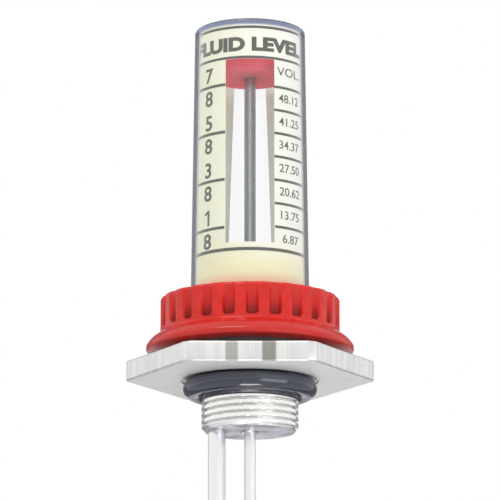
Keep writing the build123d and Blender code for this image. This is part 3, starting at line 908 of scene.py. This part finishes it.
def make_print():
    """The scale: its title, eighths of a full tank on the left and volumes on the right.

    Places are millimetres along the film from the middle of its front, and heights in Z.
    """
    target = bmesh.new()
    edge, window = 20.5, 6.75
    for low, high in ((96.9, 97.65), (88.2, 88.9), (33.5, 34.4)):
        print_bar(target, -edge, edge, low, high)
    print_text(target, "FLUID LEVEL", -0.6, 90.26, 94.4, 1.24, 0.055)

    eighths_arc = -12.5
    for count, middle in zip((7, 5, 3, 1), (81.0, 67.4, 53.9, 40.3)):
        print_bar(target, -19.3, -window - 0.2, middle - 0.4, middle + 0.4)
        top = (middle + 1.05, middle + 5.4)
        if count == 1:
            print_one(target, eighths_arc, *top)
        else:
            print_text(target, str(count), eighths_arc, *top, weight=0.02)
        print_text(target, "8", eighths_arc, middle - 5.6, middle - 1.2, weight=0.02)

    print_text(target, "VOL.", 12.0, 83.8, 86.3, 1.15)
    volumes = ("48.12", "41.25", "34.37", "27.50", "20.62", "13.75", "6.87")
    first_line, line_step = 80.4, 6.65
    for i, volume in enumerate(volumes):
        line = first_line - i * line_step
        print_bar(target, window, 21.5, line - 0.36, line + 0.36)
        print_text(target, volume, 11.9, line - 4.3, line - 1.9, weight=0.004)
    mesh = bpy.data.meshes.new("scale_print")
    target.to_mesh(mesh)
    target.free()
    mesh.transform(Matrix.Scale(MM, 4))
    mesh.materials.append(print_ink())
    piece = bpy.data.objects.new("scale_print", mesh)
    bpy.context.scene.collection.objects.link(piece)
    return stands_for(piece, "head", "printed_film")


# ---------------------------------------------------------------- indicator
def make_disk():
    """Disk with softened edges, bored for the rod."""
    bore = rod_r + bore_gap
    top_z = disk_high.z
    outline = [(bore, disk_foot_z), (disk_r, disk_foot_z), (disk_r, top_z), (bore, top_z)]
    outline = rounded(outline, {0: 0.15, 1: 0.45, 2: 0.45, 3: 0.15}, 5)
    piece = turned("red_disk", outline, 128, [disk_plastic()], 40)
    return stands_for(piece, "indicator", "red_disk", "indicator_disk")


def tongue_row(r, z):
    """A row of a push nut's bore, opened and lowered at its three slots."""
    def row(angle):
        off = (angle + radians(60)) % radians(120) - radians(60)
        slot = 1 - smooth_step(nut_slot_half * 0.85, nut_slot_half, abs(off))
        return r + nut_slot_depth * slot, z * (1 - 0.5 * slot)
    return row


def push_nut(name, rod, place):
    """Dished spring nut on a rod of some radius, with three slots between its three tongues."""
    bore, edge = rod + bore_gap, 0.08
    rows = [tongue_row(bore, nut_steel), level(nut_rim_r - 0.5, 0), level(nut_rim_r - edge, 0),
            level(nut_rim_r, edge), level(nut_rim_r, nut_steel - edge),
            level(nut_rim_r - 0.1, nut_steel), tongue_row(bore + 0.5, nut_height),
            tongue_row(bore, nut_height)]
    angles = [2 * pi * i / 180 for i in range(180)]
    steel = plated_steel("nut_steel", (0.30, 0.31, 0.33), (0.20, 0.21, 0.24), 0.35)
    nut = ringed(name, angles, rows, [steel], [0] * len(rows), 40)
    nut.data.transform(place)
    return nut


# ---------------------------------------------------------------- float
def on_arm(x):
    """Place in metres of a piece drawn along +Z from a distance x along the float's arm."""
    swing = Matrix.Rotation(radians(-swing_half_angle), 4, "Y")
    aside = Matrix.Translation(Vector((x, float_plane_y, 0)) * MM)
    return Matrix.Translation(pivot * MM) @ swing @ aside @ Matrix.Rotation(radians(90), 4, "Y")


def make_float():
    """Moulded float with a soft outer edge, and its cap with a groove at the weld."""
    skin = float_plastic()
    bore = arm_r + bore_gap
    wall = float_r - float_wall
    body = rounded([
        (float_r, 0), (float_r, float_run), (bore, float_run), (bore, 0), (float_tube_r, 0),
        (float_tube_r, float_run - float_wall), (wall, float_run - float_wall), (wall, 0),
    ], {0: 0.25, 1: 3.0, 2: 0.3}, 8)
    shell = turned("float_shell", body, 144, [skin], 35)
    shell.data.transform(on_arm(float_start_x + cap_thickness))
    stands_for(shell, "swing_arm", "float_plastic", "float_body")
    spigot = wall - bore_gap
    lid = rounded([
        (bore, 0), (float_r, 0), (float_r, cap_thickness), (spigot, cap_thickness),
        (spigot, cap_thickness + cap_spigot), (spigot - float_wall, cap_thickness + cap_spigot),
        (spigot - float_wall, cap_thickness), (bore, cap_thickness),
    ], {0: 0.3, 1: 0.8, 2: 0.25}, 8)
    cap = turned("float_lid", lid, 144, [skin], 35)
    cap.data.transform(on_arm(float_start_x))
    stands_for(cap, "swing_arm", "float_plastic", "float_cap")


def make_push_nuts():
    """The nuts on the rod over the disk and at both ends of the float."""
    on_disk = push_nut("rod_nut", rod_r, Matrix.Translation((0, 0, disk_high.z * MM)))
    stands_for(on_disk, "indicator", "spring_steel", "disk_push_nut")
    outer = push_nut("outer_nut", arm_r, on_arm(float_end_x))
    stands_for(outer, "swing_arm", "spring_steel", "float_push_nuts")
    turned_back = Matrix.Rotation(pi, 4, "X")
    inner = push_nut("inner_nut", arm_r, on_arm(float_start_x) @ turned_back)
    stands_for(inner, "swing_arm", "spring_steel")


# ---------------------------------------------------------------- carried-over CAD nodes
def finish_node(node, material):
    """Gives a CAD node a new material in each of its slots."""
    target = frame["nodes"][node]
    if not target.material_slots:
        target.data.materials.append(material)
    for slot in target.material_slots:
        slot.material = material


def finish_nodes():
    """Materials of the CAD nodes that are shown as they are."""
    bright = (0.93, 0.93, 0.93)
    rubber = seal_rubber("gasket_rubber", (0.02, 0.02, 0.02), (0.05, 0.05, 0.05), 0.5)
    # the rod gets painted shade and dark reflection from the hexagon up, where it runs inside the cup
    rod = drawn_metal("rod_metal", bright, (0.82, 0.82, 0.83), 0.26, painted_shade_above=0)
    leg = drawn_metal("leg_metal", bright, (0.80, 0.80, 0.80), 0.24)
    arm = drawn_metal("arm_metal", (0.66, 0.66, 0.67), (0.46, 0.46, 0.48), 0.28)
    bracket = plated_steel("bracket_metal", (0.66, 0.66, 0.63), (0.52, 0.54, 0.56), 0.34)
    rivets = plated_steel("rivet_metal", (0.70, 0.70, 0.69), (0.55, 0.55, 0.55), 0.36)
    pin = plated_steel("pin_metal", (0.62, 0.62, 0.61), (0.50, 0.51, 0.53), 0.28)
    finishes = {
        "cup_gasket": rubber, "scale_film": film_paper(), "indicator_rod": rod, "support_leg": leg,
        "pivot_bracket": bracket, "bracket_rivets": rivets, "float_arm": arm, "pivot_pin": pin,
        "pivot_washer": pin, "crank_pin": pin,
    }
    for node, material in finishes.items():
        finish_node(node, material)


# ---------------------------------------------------------------- studio
def area_lamp(name, place, target, size, power):
    """Soft lamp that shines from a place at a target, in metres and watts, and isn't seen."""
    data = bpy.data.lights.new(name, "AREA")
    data.shape = "RECTANGLE"
    data.size, data.size_y = size
    data.energy = power
    lamp = bpy.data.objects.new(name, data)
    lamp.location = place
    lamp.rotation_euler = (Vector(target) - Vector(place)).to_track_quat("-Z", "Y").to_euler()
    lamp.visible_camera = False
    bpy.context.scene.collection.objects.link(lamp)


def make_floor():
    """Plain pale floor, below the float when that hangs at its lowest."""
    floor_z, half = -830.0, 8000.0
    paint = Nodes("floor_paint", Roughness=0.7)
    grain = paint.noise(paint.place(), 0.05, 3.0)
    paint.link(paint.mix(grain, (0.84, 0.84, 0.84), (0.88, 0.88, 0.88)), "Base Color")
    corners = [(x * half, y * half, floor_z) for x, y in ((-1, -1), (1, -1), (1, 1), (-1, 1))]
    add_mesh("floor", corners, [(0, 1, 2, 3)], [paint.material])


def make_cards():
    """Tall grey cards behind the gauge to the left and right, which only shiny surfaces see."""
    foot, head = -1200.0, 1200.0
    near, far = Vector((130, 560)), Vector((420, 450))
    grey = Nodes("card_grey", Roughness=0.9, Specular_IOR_Level=0.1)
    grain = grey.noise(grey.place(), 0.02, 2.0)
    grey.link(grey.mix(grain, (0.20, 0.20, 0.21), (0.25, 0.25, 0.26)), "Base Color")
    for name, side in (("card_left", -1), ("card_right", 1)):
        ends = ((near, foot), (far, foot), (far, head), (near, head))
        corners = [(side * end.x, end.y, z) for end, z in ends]
        card = add_mesh(name, corners, [(0, 1, 2, 3)], [grey.material])
        card.visible_camera = card.visible_diffuse = card.visible_shadow = False
        card.visible_transmission = False


def make_world():
    """White surroundings, which light the gauge more from the front than from behind.

    What the camera sees, what shines in a surface and what shows through the cup is plain white.
    """
    world = bpy.data.worlds.new("studio")
    bpy.context.scene.world = world
    world.use_nodes = True
    tree = world.node_tree
    tree.nodes.clear()

    def add(kind, links, **values):
        node = tree.nodes.new(kind)
        for key, value in values.items():
            if key in ("operation", "interpolation_type"):
                setattr(node, key, value)
            else:
                node.inputs[key.replace("_", " ")].default_value = value
        for key, output in links.items():
            tree.links.new(output, node.inputs[key])
        return node.outputs[0] if len(node.outputs) else None

    rays = tree.nodes.new("ShaderNodeLightPath").outputs
    seen = add("ShaderNodeMath", {0: rays["Is Camera Ray"], 1: rays["Is Transmission Ray"]},
               operation="MAXIMUM")
    seen = add("ShaderNodeMath", {0: seen, 1: rays["Is Glossy Ray"]}, operation="MAXIMUM")
    axes = tree.nodes.new("ShaderNodeSeparateXYZ")
    way = tree.nodes.new("ShaderNodeTexCoord").outputs["Generated"]
    tree.links.new(way, axes.inputs[0])
    behind = add("ShaderNodeMapRange", {"Value": axes.outputs["Y"]}, From_Min=0.45, From_Max=0.9,
                 To_Min=0.92, To_Max=0.15, interpolation_type="SMOOTHSTEP")
    slant = add("ShaderNodeMapRange", {"Value": axes.outputs["X"]}, From_Min=-0.9, From_Max=0.9,
                To_Min=0.9, To_Max=1.1)
    strength = add("ShaderNodeMath", {0: behind, 1: slant}, operation="MULTIPLY")
    lighting = add("ShaderNodeBackground", {"Strength": strength}, Color=(0.98, 0.985, 1.0, 1))
    white = add("ShaderNodeBackground", {}, Color=(1, 1, 1, 1), Strength=1.0)
    shown = add("ShaderNodeMixShader", {0: seen, 1: lighting, 2: white})
    add("ShaderNodeOutputWorld", {"Surface": shown})


def make_lamps():
    """Soft key and fill in front, and a low lamp under the gauge that lights its undersides."""
    head = (0, 0, 0.04)
    area_lamp("key_lamp", (-0.30, -0.60, 0.95), head, (0.5, 0.4), 4.5)
    area_lamp("fill_lamp", (0.60, -0.65, -0.30), head, (0.8, 0.5), 2.0)
    area_lamp("under_lamp", (0.0, -0.13, -0.79), (0, -0.018, 0), (0.28, 0.20), 1.2)


def make_camera():
    """Camera a little below the gauge's head, looking up at it with a long lens."""
    distance, drop, look_up = 0.9, 0.16986, 0.226
    data = bpy.data.cameras.new("camera")
    data.sensor_width = 36.0
    data.lens = 239.5
    camera = bpy.data.objects.new("camera", data)
    camera.location = (0, -distance, -drop)
    camera.rotation_euler = (pi / 2 + look_up, 0, 0)
    bpy.context.scene.collection.objects.link(camera)
    bpy.context.scene.camera = camera


# ---------------------------------------------------------------- build
make_base()
make_seal()
make_lock_ring()
make_cup()
make_print()
make_disk()
make_push_nuts()
make_float()
finish_nodes()
make_floor()
make_cards()
make_world()
make_lamps()
make_camera()
bpy.context.scene.view_settings.view_transform = "Standard"
